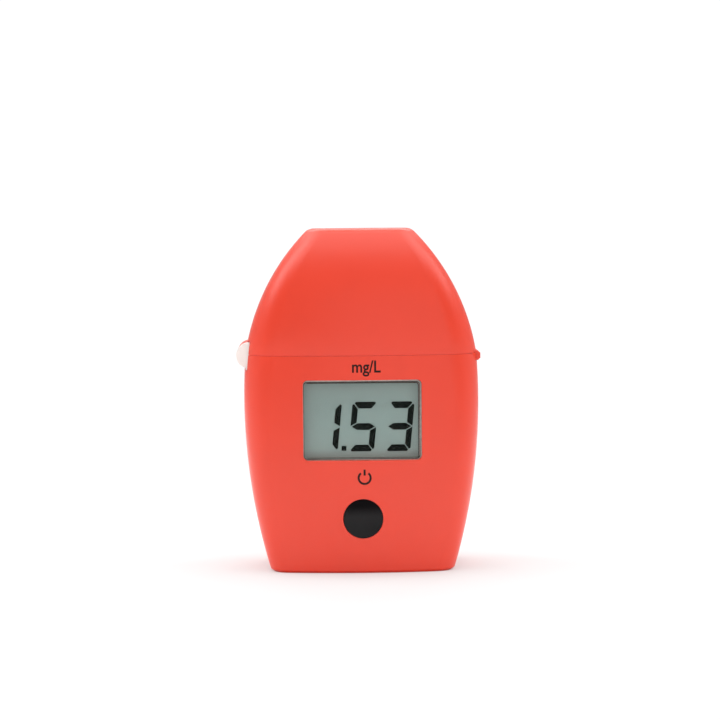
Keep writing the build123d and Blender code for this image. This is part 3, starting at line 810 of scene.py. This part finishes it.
def studio_floor_material(colour):
    """Seamless white paper: the camera sees it near white, with the soft shadow kept."""
    material, tree = new_material("seamless white paper")
    place = add_node(tree, "ShaderNodeTexCoord").outputs["Object"]
    paper = add_node(
        tree, "ShaderNodeBsdfDiffuse", links={"Color": varied_colour(tree, place, colour, 60.0, 0.004)}
    )
    depth = add_node(tree, "ShaderNodeSeparateXYZ", links={"Vector": place})
    fade = slope(tree, depth.outputs["Y"], *GLOW_DEPTHS, GLOW_AT_OBJECT, 1.0)
    strength = slope(tree, depth.outputs["Y"], *GLOW_DEPTHS, GLOW_STRENGTH_AT_OBJECT, GLOW_STRENGTH_FAR)
    glow = add_node(tree, "ShaderNodeEmission", {"Color": opaque(colour)}, {"Strength": strength})
    share = add_node(tree, "ShaderNodeMath", operation="MULTIPLY")
    tree.links.new(seen_by_camera(tree), share.inputs[0])
    tree.links.new(fade, share.inputs[1])
    mix = add_node(tree, "ShaderNodeMixShader", links={"Fac": share.outputs[0]})
    tree.links.new(paper.outputs[0], mix.inputs[1])
    tree.links.new(glow.outputs[0], mix.inputs[2])
    finish_material(tree, mix)
    return material


class COLORIMETER_OT_stage(bpy.types.Operator):
    """Sets the white floor, the lamps, the world and the camera"""

    bl_idname = "colorimeter.stage"
    bl_label = "Studio"

    def execute(self, context):
        colours = context.scene.colorimeter_colours
        scene = context.scene
        deselect()
        bpy.ops.mesh.primitive_plane_add(size=FLOOR_SIZE, location=(0, 0.6, 0))
        floor = bpy.context.object
        floor.name = "studio_floor"
        bpy.ops.object.mode_set(mode="EDIT")
        bpy.ops.mesh.select_all(action="DESELECT")
        bpy.ops.mesh.select_mode(type="EDGE")
        bpy.ops.object.mode_set(mode="OBJECT")
        for edge in floor.data.edges:
            ends = [floor.data.vertices[v].co.y for v in edge.vertices]
            edge.select = min(ends) > 0
        bpy.ops.object.mode_set(mode="EDIT")
        bpy.ops.mesh.extrude_region_move(TRANSFORM_OT_translate={"value": (0, 0, BACKDROP_HEIGHT)})
        bpy.ops.object.mode_set(mode="OBJECT")
        bend = floor.modifiers.new("sweep", "BEVEL")
        bend.width = BACKDROP_BEND
        bend.segments = 12
        bpy.ops.object.modifier_apply(modifier=bend.name)
        bpy.ops.object.shade_smooth()
        apply_place(floor)
        floor.data.materials.append(studio_floor_material(colours.floor_white))

        for name, (size, power, place, aim) in LAMPS.items():
            area_lamp(name, size, power, place, aim)

        world = bpy.data.worlds.new("white studio")
        scene.world = world
        world.use_nodes = True
        tree = world.node_tree
        tree.nodes.clear()
        soft = add_node(tree, "ShaderNodeBackground", {"Color": (1, 1, 1, 1), "Strength": WORLD_LIGHT})
        white = add_node(tree, "ShaderNodeBackground", {"Color": (1, 1, 1, 1), "Strength": 1.0})
        mix = add_node(tree, "ShaderNodeMixShader", links={"Fac": seen_by_camera(tree)})
        tree.links.new(soft.outputs[0], mix.inputs[1])
        tree.links.new(white.outputs[0], mix.inputs[2])
        add_node(tree, "ShaderNodeOutputWorld", links={"Surface": mix.outputs[0]})

        view = scene.colorimeter_camera
        lens = bpy.data.cameras.new("camera")
        lens.lens = view.lens
        lens.sensor_width = 36.0
        camera = bpy.data.objects.new("camera", lens)
        scene.collection.objects.link(camera)
        back = Vector((
            math.sin(view.azimuth) * math.cos(view.elevation),
            -math.cos(view.azimuth) * math.cos(view.elevation),
            math.sin(view.elevation),
        ))
        camera.location = Vector(view.aim) + back * view.distance
        camera.rotation_mode = "QUATERNION"
        look = (-back).to_track_quat("-Z", "Y")
        camera.rotation_quaternion = Quaternion(back, view.roll) @ look
        scene.camera = camera
        scene.view_settings.view_transform = "Standard"
        return {"FINISHED"}


class COLORIMETER_PT_panel(bpy.types.Panel):
    """Lists the steps in the sidebar."""

    bl_label = "Portable colorimeter"
    bl_space_type = "VIEW_3D"
    bl_region_type = "UI"
    bl_category = "Colorimeter"

    def draw(self, context):
        for step in STEPS:
            self.layout.operator(step.bl_idname)


STEPS = (
    COLORIMETER_OT_case,
    COLORIMETER_OT_deck,
    COLORIMETER_OT_well,
    COLORIMETER_OT_window,
    COLORIMETER_OT_button,
    COLORIMETER_OT_marks,
    COLORIMETER_OT_metal,
    COLORIMETER_OT_stage,
)
GROUPS = {
    "colorimeter_colours": ColorimeterColours,
    "colorimeter_sizes": ColorimeterSizes,
    "colorimeter_camera": ColorimeterCamera,
}


def register():
    for group in GROUPS.values():
        bpy.utils.register_class(group)
    for step in (*STEPS, COLORIMETER_PT_panel):
        bpy.utils.register_class(step)
    for name, group in GROUPS.items():
        setattr(bpy.types.Scene, name, bpy.props.PointerProperty(type=group))


def unregister():
    for name in GROUPS:
        delattr(bpy.types.Scene, name)
    for step in reversed((*GROUPS.values(), *STEPS, COLORIMETER_PT_panel)):
        bpy.utils.unregister_class(step)


def main():
    register()
    bpy.ops.colorimeter.case()
    bpy.ops.colorimeter.deck()
    bpy.ops.colorimeter.well()
    bpy.ops.colorimeter.window()
    bpy.ops.colorimeter.button()
    bpy.ops.colorimeter.marks()
    bpy.ops.colorimeter.metal()
    bpy.ops.colorimeter.stage()


if __name__ == "__main__":
    main()
